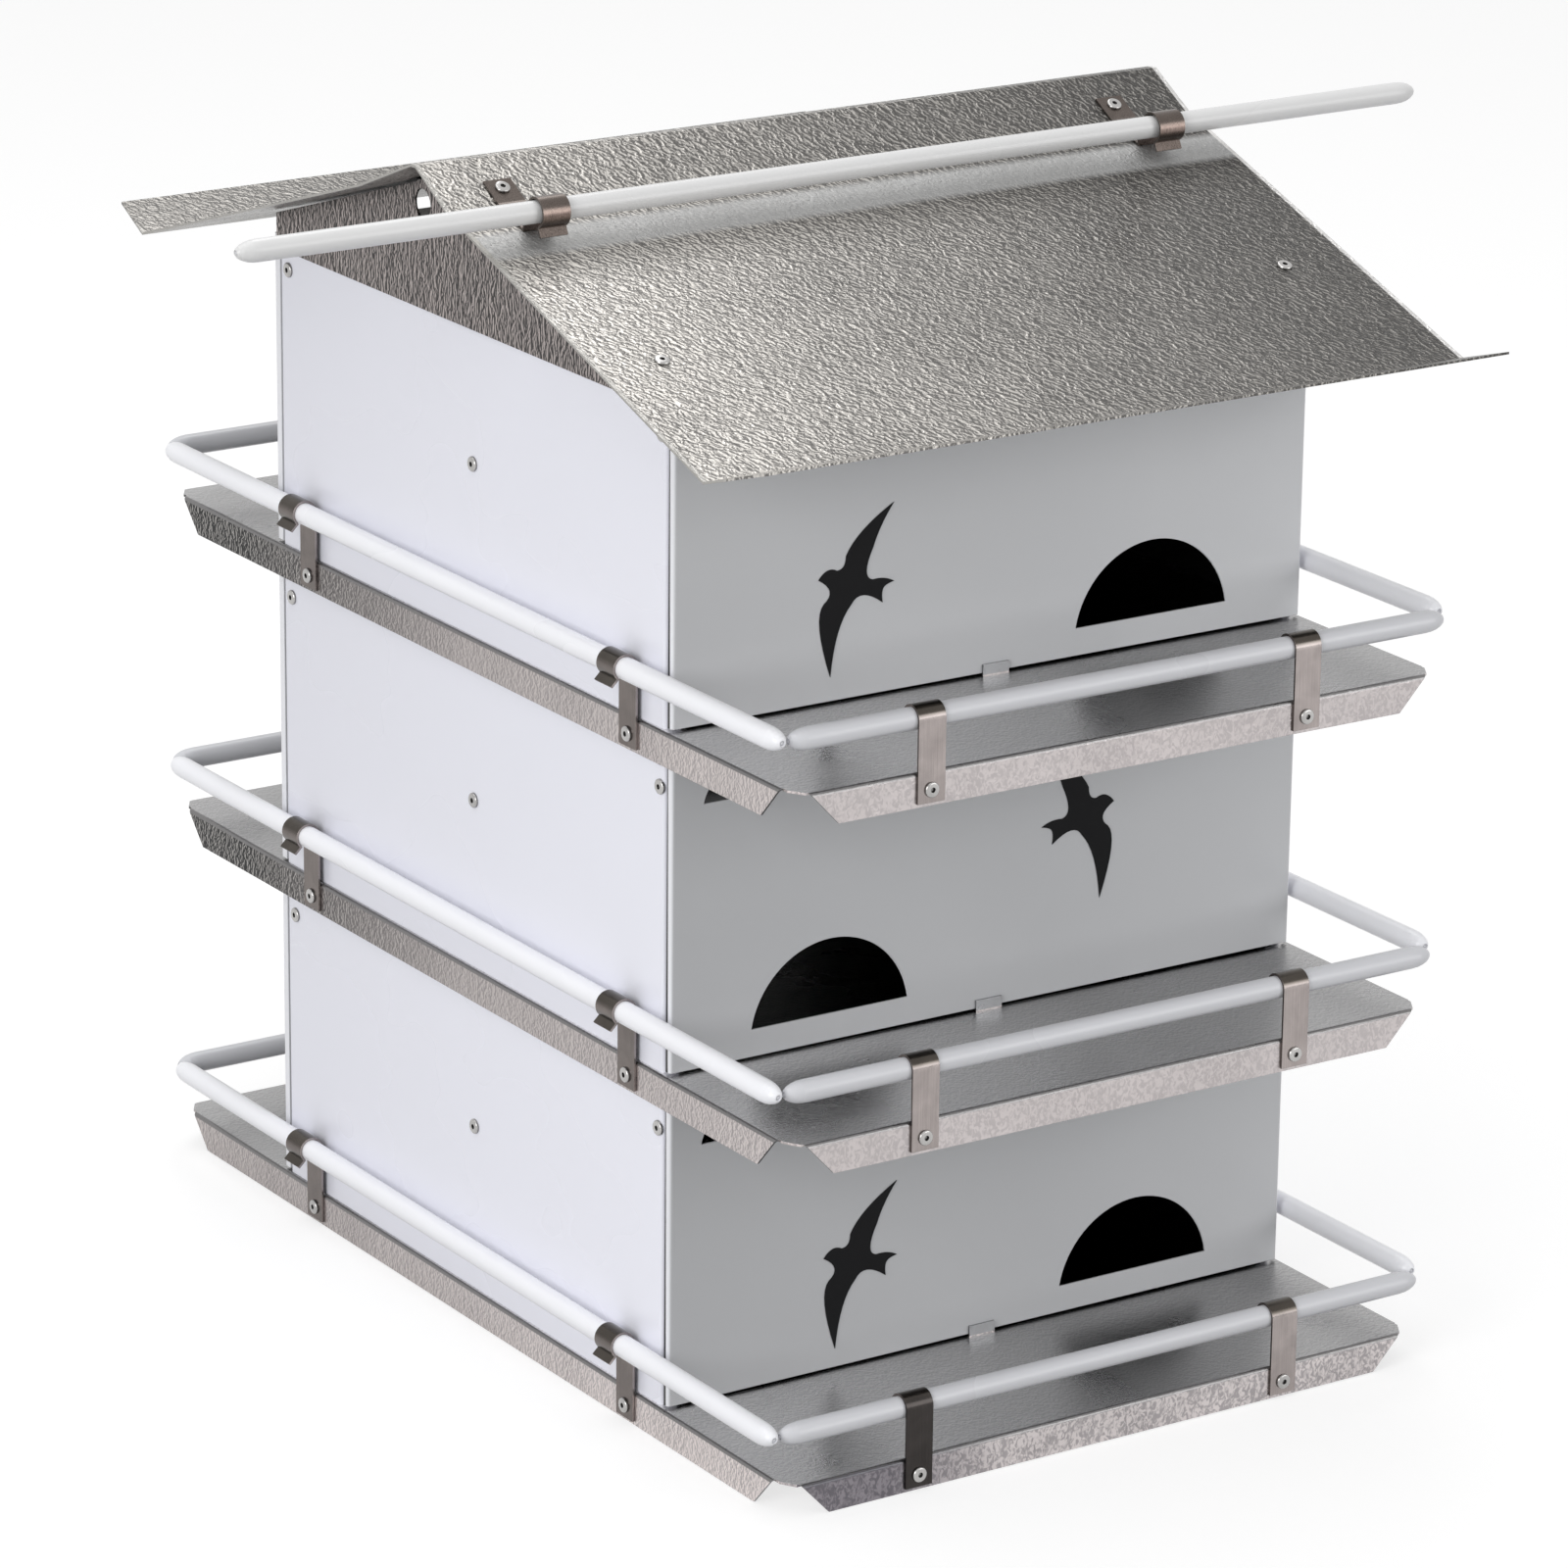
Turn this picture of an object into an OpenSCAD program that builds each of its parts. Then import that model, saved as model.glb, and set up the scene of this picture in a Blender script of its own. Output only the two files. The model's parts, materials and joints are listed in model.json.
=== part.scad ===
// Three-storey house for purple martins, in sheet aluminium.
// Folded trays make the floors and porches, plain walls close the ends, lift-off panels
// close the rooms, tube rails run round each porch and a folded roof sheds the rain.
// X runs along the front, the front looks towards -Y, and Z = 0 is the ground.

/* [House] */
// Height from the top of one tray to the top of the next
storey_h = 147.7; // [125:0.1:180]
// Thickness of the sheet that everything is folded from
sheet = 1; // [0.6:0.1:1.2]
// Outer radius of a fold
bend_r = 1.8; // [1.5:0.1:3]
// Gap left where one sheet is riveted against another
seam = 0.1; // [0.05:0.01:0.2]

/* [Trays] */
// Width of a tray over its side folds
tray_w = 320; // [280:1:380]
// Depth of a tray over its front and back folds
tray_d = 514.4; // [470:0.1:560]
// Height of the edge that is folded down
tray_edge = 14.6; // [13.6:0.1:20]
// Corner cut off along the front fold
corner_x = 7; // [4:0.5:12]
// Corner cut off along the side fold
corner_y = 11.3; // [6:0.1:16]
// Where the front edge's slanted end meets its lower rim, from the corner
slant_x = 20.7; // [14:0.1:30]
// Where the side edge's slanted end meets its lower rim, from the corner
slant_y = 24.8; // [18:0.1:34]
// Width of the small tab that keeps a panel's foot in
tab_w = 13; // [8:0.5:20]
// Height of that tab above the tray
tab_h = 5; // [3.5:0.1:8]

/* [End walls] */
// How far an end wall stands inside the tray's side fold
wall_inset = 2.2; // [1.5:0.1:6]
// Depth of an end wall over its folded edges
wall_d = 315; // [280:1:330]
// Width of the edge folded inwards
wall_return = 12; // [8:0.5:20]

/* [Panels] */
// How far a panel's face stands out past the end walls
panel_proud = 5.5; // [4.5:0.1:10]
// Open joint under a panel
panel_gap = 1.2; // [0.8:0.1:3]
// Depth of a front panel's side edges, which stop short of the walls
panel_edge = 3.3; // [3:0.1:4]

/* [Entrances and vents] */
// Width of the half-moon entrance
door_w = 77.7; // [60:0.1:90]
// Height of the half-moon entrance
door_h = 33; // [25:0.5:36]
// Sill height above the tray
door_sill = 13; // [8:0.5:25]
// Distance from the middle of the panel to the middle of the entrance
door_x = 79.5; // [60:0.5:95]
// Width of the small vent in the panel's top corner
vent_w = 28; // [16:0.5:32]
// Distance from the panel's side to the middle of the vent
vent_in = 29.5; // [18:0.5:45]
// Height of the vent's lower edge above the tray
vent_z = 115; // [100:0.5:118]
// Diameter of the round vent in a gable
gable_vent = 13; // [8:0.5:20]
// Distance of the gable vent from the middle, towards the back on the left
gable_vent_y = 32.5; // [0:0.5:50]
// Depth of the gable vent's middle below the ridge
gable_vent_drop = 27; // [26:0.2:34]

/* [Attic and roof] */
// Depth of the attic floor below the top of the walls
attic_down = 6.6; // [4:0.1:12]
// How far the attic floor stands out past the panels
attic_over = 1; // [0.5:0.1:3]
// Depth of the attic floor's folded sides
attic_edge = 12; // [6:0.5:20]
// How far a gable laps down over the wall
gable_lap = 13.7; // [8:0.1:20]
// Gap between a gable and the roof
gable_gap = 1.2; // [0.2:0.1:3]
// Width of the gable's top edge, folded in under the roof
gable_edge = 11; // [8:0.5:16]
// How far the roof stands out past each side of the trays
roof_over = 27; // [10:1:50]
// How far the roof sits off the middle, to the right
roof_shift = 2.4; // [-6:0.1:6]
// How far the ridge sits off the middle, to the front
ridge_off = 4; // [-6:0.5:6]
// Half the width of the flat crown along the ridge
crown = 1.8; // [1:0.1:3]
// Distance from the middle to the front eave's fold
front_eave_y = 227; // [200:1:245]
// Drop from the ridge to the front eave's fold
front_eave_drop = 81; // [72:0.1:90]
// Distance from the middle to the back eave's fold
back_eave_y = 234; // [200:1:245]
// Drop from the ridge to the back eave's fold
back_eave_drop = 78.3; // [72:0.1:90]
// Distance from the ridge to the end of the front slope's steeper brow
front_brow_y = 27; // [12:0.5:27]
// Drop from the ridge to the end of the front brow
front_brow_drop = 14.4; // [7:0.1:16]
// Distance from the ridge to the end of the back slope's brow
back_brow_y = 45; // [30:0.5:60]
// Drop from the ridge to the end of the back brow
back_brow_drop = 17.2; // [12:0.1:20]
// Distance from the middle to the tips of both eave lips
lip_tip_y = 264; // [250:0.5:280]
// How far the front eave's lip turns up
front_lip_z = 11.5; // [4:0.5:16]
// How far the back eave's lip turns up
back_lip_z = 7; // [4:0.5:16]
// How far the lips' ends taper in
lip_taper = 6; // [0:0.5:12]

/* [Rails] */
// Diameter of the rail tube
rail_dia = 9.5; // [8:0.1:12]
// Wall of the rail and perch tubes
tube_wall = 0.9; // [0.6:0.1:1.5]
// Height of the front and back rails' middle above the tray
rail_h = 21.5; // [17:0.1:26]
// How much higher the side rails lie
side_rail_up = 1.2; // [0:0.1:3]
// Length of the rounded nose that a tube is closed in to
nose = 10; // [6:0.5:16]
// How far a front or back rail's right end reaches past the tray, seen from outside
front_rail_right = 3.9; // [-6:0.1:4]
// How far its left end reaches past the tray
front_rail_left = 1.1; // [-6:0.1:1.1]
// Distance of a side rail's right end from the tray's corner, seen from outside
side_rail_right = 0; // [0:0.1:12]
// Distance of its left end from the tray's corner
side_rail_left = 9.5; // [9:0.1:20]

/* [Clips] */
// Width of a clip
clip_w = 13; // [8:0.5:18]
// Thickness of a clip
clip_t = 1; // [0.8:0.1:1.5]
// Clearance between a clip and the tube in it
clip_slip = 0.15; // [0.05:0.01:0.25]
// How far a rail clip runs down the tray's edge
clip_foot = 13; // [10:0.5:13.5]
// Length of a clip's flared lip
clip_lip = 4.3; // [2:0.1:5]
// Half the distance between the two clips of a side
side_clip_y = 132; // [90:1:148]
// How far the pair of left clips sits off the middle, to the front
side_clip_shift = 2; // [-6:0.5:6]
// Half the distance between the two front clips
front_clip_x = 93; // [60:1:120]
// How far the pair of front clips sits off the middle
front_clip_shift = -3; // [-8:0.5:8]

/* [Perch] */
// Length of the perch over the roof
perch_l = 588; // [480:1:640]
// Diameter of the perch
perch_dia = 9.5; // [8:0.1:12]
// Distance from the ridge to the perch, across the house
perch_y = 56; // [50:0.5:90]
// Height of the perch's middle above the roof, square to it
perch_rise = 12.4; // [11:0.1:20]
// How far the perch sits off the middle, to the right
perch_shift = -4.6; // [-4.6:0.1:4.6]
// Distance of the perch clips from the middle of the house
perch_clip_x = 154; // [100:1:160]
// Distance from the ridge to the upper end of a clip's foot
perch_foot_y = 15; // [6:0.5:22]

/* [Emblems] */
// Thickness of a swallow emblem
emblem_t = 0.3; // [0.1:0.05:0.6]
// Height of a swallow emblem over its wing tips
emblem_h = 70; // [50:1:80]

/* [Hidden] */
$fn = 48;
STOREYS = [1, 2, 3];
wall_x = tray_w / 2 - wall_inset;
wall_h = storey_h - sheet;
wall_top = tray_edge + 3 * storey_h - sheet;
attic_z = wall_top - attic_down;
panel_y = wall_d / 2 + panel_proud;
ridge_y = -ridge_off;
roof_drop_t = sheet * 1.06;
front_eave_d = front_eave_y - ridge_off;
back_eave_d = back_eave_y + ridge_off;
front_grade = (front_eave_drop - front_brow_drop) / (front_eave_d - front_brow_y);
back_grade = (back_eave_drop - back_brow_drop) / (back_eave_d - back_brow_y);
front_slope = atan(front_grade);
wall_fall = max(roof_fall(-wall_d / 2), roof_fall(wall_d / 2));
ridge_z = wall_top + seam + roof_drop_t + wall_fall;
rail_r = rail_dia / 2;
side_rail_x = tray_w / 2 + seam + clip_t + clip_slip + rail_r;
front_rail_y = tray_d / 2 + seam - clip_slip - rail_r;
perch_r = perch_dia / 2;
perch_band_r = perch_r + 1;
vent_h = vent_w * door_h / door_w;
tight = 0.3;
eps = 0.01;

// Heights of the swallows' middles above their trays, and how far off the middle they sit.
SWALLOW_X = [-63, 44.5, -70];
SWALLOW_Z = [48, 78, 50];

function tray_top(n) = tray_edge + (n - 1) * storey_h;

// Fall of one slope at distance d from the ridge, past its brow or on it.
function slope_fall(d, brow_y, brow_drop, grade) = d > brow_y
    ? brow_drop + (d - brow_y) * grade
    : brow_drop * max(0, d - crown) / (brow_y - crown);

// Fall of the roof's top face from the ridge at y.
function roof_fall(y) = y < ridge_y
    ? slope_fall(ridge_y - y, front_brow_y, front_brow_drop, front_grade)
    : slope_fall(y - ridge_y, back_brow_y, back_brow_drop, back_grade);

// Radius of a half-moon of width w and height h.
function moon_r(w, h) = (w * w / 4 + h * h) / (2 * h);

// Side of the house that a storey's entrance is on: the first and third match.
function door_side(n) = n == 2 ? -1 : 1;

// Points of a curve from a to c that is drawn towards b, without its end.
function curve(a, b, c) = [for (t = [0:1 / 8:0.99])
    a * (1 - t) * (1 - t) + b * 2 * t * (1 - t) + c * t * t];

// ---- Folded sheet ----

// Quarter of a fold in plan, its outer corner at the origin and its sheet at -X and -Y.
module fold_quarter() {
    translate([-bend_r, -bend_r]) intersection() {
        difference() {
            circle(bend_r);
            circle(bend_r - sheet);
        }
        square(bend_r);
    }
}

// Section of a folded edge: the outer face at x = 0, the top at y = 0.
module folded_edge_section(depth) {
    fold_quarter();
    translate([-sheet, -depth]) square([sheet, depth - bend_r]);
}

// Section of a channel in plan: web along X on y = 0, edges folded back towards +Y.
module channel_section(width, edge) {
    for (s = [-1, 1]) mirror([s < 0 ? 1 : 0, 0]) translate([width / 2, 0]) mirror([0, 1]) {
        fold_quarter();
        translate([-sheet, -edge]) square([sheet, edge - bend_r]);
    }
    translate([-width / 2 + bend_r, 0]) square([width - 2 * bend_r, sheet]);
}

// ---- Trays ----

// Upright outline of a tray edge: long at the fold, short at the lower rim.
module tray_edge_outline(half, cut, slant) {
    polygon([[-half + cut, eps], [half - cut, eps], [half - slant, -tray_edge - eps],
        [-half + slant, -tray_edge - eps]]);
}

// One folded edge of a tray, at its outer face y = 0 and running along X.
module tray_folded_edge(half, cut, slant) {
    intersection() {
        rotate([90, 0, 90]) translate([0, 0, -half]) linear_extrude(2 * half)
            mirror([1, 0]) folded_edge_section(tray_edge);
        rotate([90, 0, 0]) translate([0, 0, -2 * bend_r]) linear_extrude(3 * bend_r)
            tray_edge_outline(half, cut, slant);
    }
}

module tray_plate() {
    w = tray_w / 2;
    d = tray_d / 2;
    translate([0, 0, -sheet]) linear_extrude(sheet) intersection() {
        square([tray_w - 2 * bend_r, tray_d - 2 * bend_r], center = true);
        polygon([[-w, -d + corner_y], [-w + corner_x, -d], [w - corner_x, -d], [w, -d + corner_y],
            [w, d - corner_y], [w - corner_x, d], [-w + corner_x, d], [-w, d - corner_y]]);
    }
}

// Tab that stands up in front of a panel's foot.
module tray_tab() {
    translate([-tab_w / 2, -panel_y - seam - sheet, -sheet / 2]) cube([tab_w, sheet, tab_h + sheet / 2]);
}

module tray(n) {
    color("lightslategray") translate([0, 0, tray_top(n)]) {
        tray_plate();
        for (turn = [0, 180]) rotate([0, 0, turn]) {
            translate([0, -tray_d / 2, 0]) tray_folded_edge(tray_w / 2, corner_x, slant_x);
            translate([tray_w / 2, 0, 0]) rotate([0, 0, 90]) tray_folded_edge(tray_d / 2, corner_y, slant_y);
            tray_tab();
        }
    }
}

// ---- Walls and panels ----

// End wall standing on tray n, on the side given by side = -1 or 1.
module end_wall(n, side) {
    color("white") rotate([0, 0, side < 0 ? 180 : 0]) translate([wall_x, 0, tray_top(n)])
        rotate([0, 0, 90]) linear_extrude(wall_h) channel_section(wall_d, wall_return);
}

// Half-moon standing on its flat side.
module half_moon(w, h) {
    r = moon_r(w, h);
    intersection() {
        translate([0, h - r]) circle(r, $fn = 96);
        translate([-w, 0]) square([2 * w, h + 1]);
    }
}

module panel_cut(w, h, x, z) {
    translate([x, sheet + 1, z]) rotate([90, 0, 0]) linear_extrude(sheet + 2) half_moon(w, h);
}

// Panel over tray n, made for the front and looking towards -Y, with side edges of this depth.
module panel(n, edge) {
    top = (n == 3 ? attic_z - tray_top(3) : storey_h) - sheet - tight;
    top_edge = panel_proud - tight;
    color("gainsboro") translate([0, -panel_y, tray_top(n)]) difference() {
        union() {
            translate([0, 0, panel_gap]) linear_extrude(top - panel_gap)
                channel_section(2 * wall_x, edge);
            translate([-wall_x + bend_r, sheet / 2, top - sheet])
                cube([2 * wall_x - 2 * bend_r, top_edge - sheet / 2, sheet]);
        }
        panel_cut(door_w, door_h, door_side(n) * door_x, door_sill);
        panel_cut(vent_w, vent_h, vent_in - wall_x, vent_z);
    }
}

module front_panel(n) {
    panel(n, panel_edge);
}

module back_panel(n) {
    rotate([0, 0, 180]) panel(n, panel_proud - 2 * seam);
}

// ---- Swallows ----

// Swallow in flight with its head to the left, one unit high over its wing tips.
module swallow_outline() {
    polygon(concat(
        curve([-0.26, 0.05], [-0.2, 0.13], [-0.13, 0.09]),
        curve([-0.13, 0.09], [-0.07, 0.09], [-0.07, 0.17]),
        curve([-0.07, 0.17], [0, 0.31], [0.26, 0.45]),
        curve([0.26, 0.45], [0.16, 0.32], [0.12, 0.2]),
        curve([0.12, 0.2], [0.03, 0.02], [0.12, 0]),
        curve([0.12, 0], [0.2, 0.01], [0.27, -0.03]),
        curve([0.27, -0.03], [0.2, -0.04], [0.19, -0.07]),
        curve([0.19, -0.07], [0.18, -0.1], [0.19, -0.15]),
        curve([0.19, -0.15], [0.03, -0.03], [-0.03, -0.13]),
        curve([-0.03, -0.13], [-0.14, -0.24], [-0.17, -0.55]),
        curve([-0.17, -0.55], [-0.3, -0.18], [-0.22, -0.1]),
        curve([-0.22, -0.1], [-0.12, -0.03], [-0.26, 0.05])
    ));
}

module swallows() {
    color("black") for (n = STOREYS)
        translate([SWALLOW_X[n - 1], -panel_y - seam / 2, tray_top(n) + SWALLOW_Z[n - 1]])
            rotate([90, 0, 0]) mirror([door_side(n) < 0 ? 1 : 0, 0]) linear_extrude(emblem_t)
                scale(emblem_h) swallow_outline();
}

module swallows_front() {
    swallows();
}

module swallows_back() {
    rotate([0, 0, 180]) swallows();
}

// ---- Attic, gables and roof ----

module attic_floor() {
    x = wall_x - sheet - seam;
    edge_l = wall_d - 2 * sheet - 2 * tight;
    notch_x = wall_x - wall_return - tight;
    color("silver") translate([0, 0, attic_z]) {
        translate([0, 0, -sheet]) linear_extrude(sheet) {
            square([2 * x - 2 * bend_r, edge_l], center = true);
            square([2 * notch_x, 2 * (panel_y + attic_over)], center = true);
        }
        for (turn = [0, 180]) rotate([0, 0, turn]) translate([x, edge_l / 2, 0])
            rotate([90, 0, 0]) linear_extrude(edge_l) folded_edge_section(attic_edge);
    }
}

// Outline across the house that lies under the roof's top face by gap, down to z = foot.
module under_roof(half, foot, gap) {
    bends = [-half, ridge_y - front_brow_y, ridge_y - crown, ridge_y + crown, ridge_y + back_brow_y, half];
    polygon(concat([for (y = bends) [y, ridge_z - gap - roof_fall(y)]], [[half, foot], [-half, foot]]));
}

// Extrudes an outline across the house along X, from x = start.
module along_ridge(start, length) {
    translate([start, 0, 0]) rotate([90, 0, 90]) linear_extrude(length) children();
}

// Gable made for the right-hand end, with its round vent at vent_y.
module gable(vent_y) {
    x = wall_x + seam;
    gap = roof_drop_t + gable_gap;
    edge_half = wall_d / 2 - 20;
    color("rosybrown") {
        difference() {
            along_ridge(x, sheet) under_roof(wall_d / 2 + sheet, wall_top - gable_lap, gap);
            translate([x - 1, vent_y, ridge_z - gable_vent_drop])
                rotate([0, 90, 0]) cylinder(h = sheet + 2, d = gable_vent);
        }
        along_ridge(x + sheet / 2 - gable_edge, gable_edge) difference() {
            under_roof(edge_half, wall_top, gap);
            under_roof(edge_half + 1, wall_top - 1, gap + roof_drop_t);
        }
    }
}

module gable_right() {
    gable(-gable_vent_y);
}

module gable_left() {
    mirror([1, 0, 0]) gable(gable_vent_y);
}

// Section of the roof sheet across the house, lips included.
module roof_section() {
    bends = [-front_eave_y, ridge_y - front_brow_y, ridge_y - crown, ridge_y + crown,
        ridge_y + back_brow_y, back_eave_y];
    top = concat([[-lip_tip_y, front_lip_z - front_eave_drop]], [for (y = bends) [y, -roof_fall(y)]],
        [[lip_tip_y, back_lip_z - back_eave_drop]]);
    last = len(top) - 1;
    under = [for (i = [0:last]) top[last - i] - [0, roof_drop_t]];
    polygon(concat(top, under));
}

// Plan of the roof, with the lips' ends tapered.
module roof_plan() {
    half = tray_w / 2 + roof_over;
    tip_y = lip_tip_y + 1;
    tip_x = half - lip_taper;
    polygon([[-half, -front_eave_y], [-tip_x, -tip_y], [tip_x, -tip_y], [half, -front_eave_y],
        [half, back_eave_y], [tip_x, tip_y], [-tip_x, tip_y], [-half, back_eave_y]]);
}

module roof() {
    half = tray_w / 2 + roof_over;
    depth = max(front_eave_drop, back_eave_drop) + 5;
    color("silver") translate([roof_shift, 0, ridge_z]) intersection() {
        along_ridge(-half, 2 * half) roof_section();
        translate([0, 0, -depth]) linear_extrude(depth + 5) roof_plan();
    }
}

// ---- Rails ----

// Half outline of a tube of radius r that closes to a small hole at both ends, half its length.
function nosed(r, half, nose) = concat(
    [for (a = [15:15:90]) [r * sin(a), half - nose + nose * cos(a)]],
    [for (a = [90:-15:15]) [r * sin(a), nose - half - nose * cos(a)]]);

function reversed(points) = [for (i = [len(points) - 1:-1:0]) points[i]];

// Tube of radius r and length l along X, with rounded noses.
module nosed_tube(r, l) {
    outer = nosed(r, l / 2, nose);
    inner = nosed(r - tube_wall, l / 2 - tube_wall, nose - tube_wall);
    rotate([0, 90, 0]) rotate_extrude() polygon(concat(outer, reversed(inner)));
}

// Rail over one side of tray n: turn takes it from the front round to the side it belongs to.
module rail(n, turn) {
    on_front = turn % 180 == 0;
    right = on_front ? tray_w / 2 + front_rail_right : tray_d / 2 - side_rail_right;
    left = on_front ? tray_w / 2 + front_rail_left : tray_d / 2 - side_rail_left;
    out = on_front ? front_rail_y : side_rail_x;
    up = on_front ? rail_h : rail_h + side_rail_up;
    color("whitesmoke") rotate([0, 0, turn]) translate([(right - left) / 2, -out, tray_top(n) + up])
        nosed_tube(rail_r, right + left);
}

module rail_front(n) {
    rail(n, 0);
}

module rail_right(n) {
    rail(n, 90);
}

module rail_back(n) {
    rail(n, 180);
}

module rail_left(n) {
    rail(n, 270);
}

// ---- Clips ----

// Section of a clip: its leg stands at x = 0 to clip_t from y = foot up to the band's middle,
// then the band of inner radius r goes over towards +X and ends in a lip that flares outward.
module clip_section(foot, middle, r) {
    band_end = -50;
    translate([0, foot]) square([clip_t, middle - foot]);
    translate([clip_t + r, middle]) {
        difference() {
            circle(r + clip_t);
            circle(r);
            clip_gap(r + 2 * clip_t, band_end);
        }
        translate((r + clip_t / 2) * [cos(band_end), sin(band_end)]) rotate(45)
            translate([-clip_t / 2, -clip_lip]) square([clip_t, clip_lip + clip_t / 4]);
    }
}

// Wedge below a band's middle that the band leaves open, from straight left round to its end.
module clip_gap(r, band_end) {
    polygon([[0, 0], [-2 * r, 0], [-2 * r, -2 * r], [2 * r * cos(band_end), 2 * r * sin(band_end)]]);
}

module rail_clip(middle) {
    rotate([90, 0, 90]) translate([0, 0, -clip_w / 2]) linear_extrude(clip_w)
        clip_section(-clip_foot, middle, rail_r + clip_slip);
}

module rail_clips(n) {
    color("darkgray") translate([0, 0, tray_top(n)]) for (turn = [0, 180]) rotate([0, 0, turn]) {
        for (x = [front_clip_shift - front_clip_x, front_clip_shift + front_clip_x])
            translate([x, -tray_d / 2 - seam - clip_t, 0]) rail_clip(rail_h);
        for (y = [side_clip_shift - side_clip_y, side_clip_shift + side_clip_y])
            translate([tray_w / 2 + seam, y, 0]) rotate([0, 0, -90]) rail_clip(rail_h + side_rail_up);
    }
}

// ---- Perch ----

// Frame on the front slope, square to it: x down the slope from below the ridge, y up from its face.
module on_front_slope() {
    translate([0, ridge_y, ridge_z - front_brow_drop + front_brow_y * front_grade])
        rotate([90, 0, -90]) rotate(-front_slope) children();
}

// Distance down the slope to the perch's middle.
perch_s = perch_y / cos(front_slope) - perch_rise * tan(front_slope);

module perch_rod() {
    color("whitesmoke") on_front_slope() translate([perch_s, perch_rise, -perch_shift])
        rotate([0, 90, 0]) nosed_tube(perch_r, perch_l);
}

// Clip on the roof, its foot bent up where the slope meets the brow.
module perch_clip() {
    leg_x = perch_s - perch_r - clip_slip - clip_t;
    bend_x = front_brow_y / cos(front_slope);
    brow_slope = atan2(front_brow_drop, front_brow_y - crown);
    upper = (front_brow_y - perch_foot_y) / cos(brow_slope);
    translate([0, seam, -clip_w / 2]) linear_extrude(clip_w) {
        translate([leg_x, 0]) clip_section(0, perch_rise - seam, perch_band_r);
        translate([bend_x, 0]) square([leg_x - bend_x + clip_t, clip_t]);
        translate([bend_x, 0]) rotate(front_slope - brow_slope) translate([-upper, 0])
            square([upper, clip_t]);
    }
}

module perch_clips() {
    color("dimgray") on_front_slope() for (z = [-perch_clip_x, perch_clip_x])
        translate([0, 0, z]) perch_clip();
}

// ---- Parts ----

tray(1);  // tray_1
tray(2);  // tray_2
tray(3);  // tray_3
end_wall(1, -1);  // end_wall_left_1
end_wall(2, -1);  // end_wall_left_2
end_wall(3, -1);  // end_wall_left_3
end_wall(1, 1);  // end_wall_right_1
end_wall(2, 1);  // end_wall_right_2
end_wall(3, 1);  // end_wall_right_3
front_panel(1);  // front_panel_1
front_panel(2);  // front_panel_2
front_panel(3);  // front_panel_3
back_panel(1);  // back_panel_1
back_panel(2);  // back_panel_2
back_panel(3);  // back_panel_3
attic_floor();
gable_left();
gable_right();
roof();
rail_front(1);  // rail_front_1
rail_front(2);  // rail_front_2
rail_front(3);  // rail_front_3
rail_back(1);  // rail_back_1
rail_back(2);  // rail_back_2
rail_back(3);  // rail_back_3
rail_left(1);  // rail_left_1
rail_left(2);  // rail_left_2
rail_left(3);  // rail_left_3
rail_right(1);  // rail_right_1
rail_right(2);  // rail_right_2
rail_right(3);  // rail_right_3
rail_clips(1);  // rail_clips_1
rail_clips(2);  // rail_clips_2
rail_clips(3);  // rail_clips_3
perch_rod();
perch_clips();
swallows_front();
swallows_back();
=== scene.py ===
import json
import math
import bpy
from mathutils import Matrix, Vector


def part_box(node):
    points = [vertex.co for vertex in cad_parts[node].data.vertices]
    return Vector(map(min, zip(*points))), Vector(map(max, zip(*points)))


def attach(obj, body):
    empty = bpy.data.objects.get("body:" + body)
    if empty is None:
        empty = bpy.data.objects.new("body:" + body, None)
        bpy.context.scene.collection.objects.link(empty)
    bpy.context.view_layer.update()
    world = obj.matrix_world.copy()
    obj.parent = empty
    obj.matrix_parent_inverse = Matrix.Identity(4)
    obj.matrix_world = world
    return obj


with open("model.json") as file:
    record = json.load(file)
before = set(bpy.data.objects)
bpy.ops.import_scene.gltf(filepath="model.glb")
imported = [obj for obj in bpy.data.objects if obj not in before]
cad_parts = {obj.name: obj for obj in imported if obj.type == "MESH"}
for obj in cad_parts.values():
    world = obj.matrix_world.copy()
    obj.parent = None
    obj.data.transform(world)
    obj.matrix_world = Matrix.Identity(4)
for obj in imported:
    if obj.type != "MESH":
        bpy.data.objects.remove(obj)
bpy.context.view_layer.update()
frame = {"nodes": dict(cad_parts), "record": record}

storeys = (1, 2, 3)
tabUp = 0.005  # a tray's tabs stand this far over its top
trayTop = {n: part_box(f"tray_{n}")[1].z - tabUp for n in storeys}


def clearSelection():
    if bpy.context.object and bpy.context.object.mode != "OBJECT":
        bpy.ops.object.mode_set(mode="OBJECT")
    bpy.ops.object.select_all(action="DESELECT")


def selectOnly(thing):
    clearSelection()
    thing.select_set(True)
    bpy.context.view_layer.objects.active = thing


def pickFaces(thing, wanted):
    # selects, in edit mode, the faces that wanted(face) says yes to
    bpy.ops.object.mode_set(mode="EDIT")
    bpy.ops.mesh.select_mode(type="FACE")
    bpy.ops.mesh.select_all(action="DESELECT")
    bpy.ops.object.mode_set(mode="OBJECT")
    for face in thing.data.polygons:
        face.select = wanted(face)
    bpy.ops.object.mode_set(mode="EDIT")


clearSelection()
print("frame loaded:", len(frame["nodes"]), "nodes")


view = {"place": (-1.5896, -2.4323, 1.16823), "aim": (0, -0.0047, 0.21733), "roll": 0.657, "lens": 160.64,
        "film": 36, "reach": 60}

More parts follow.
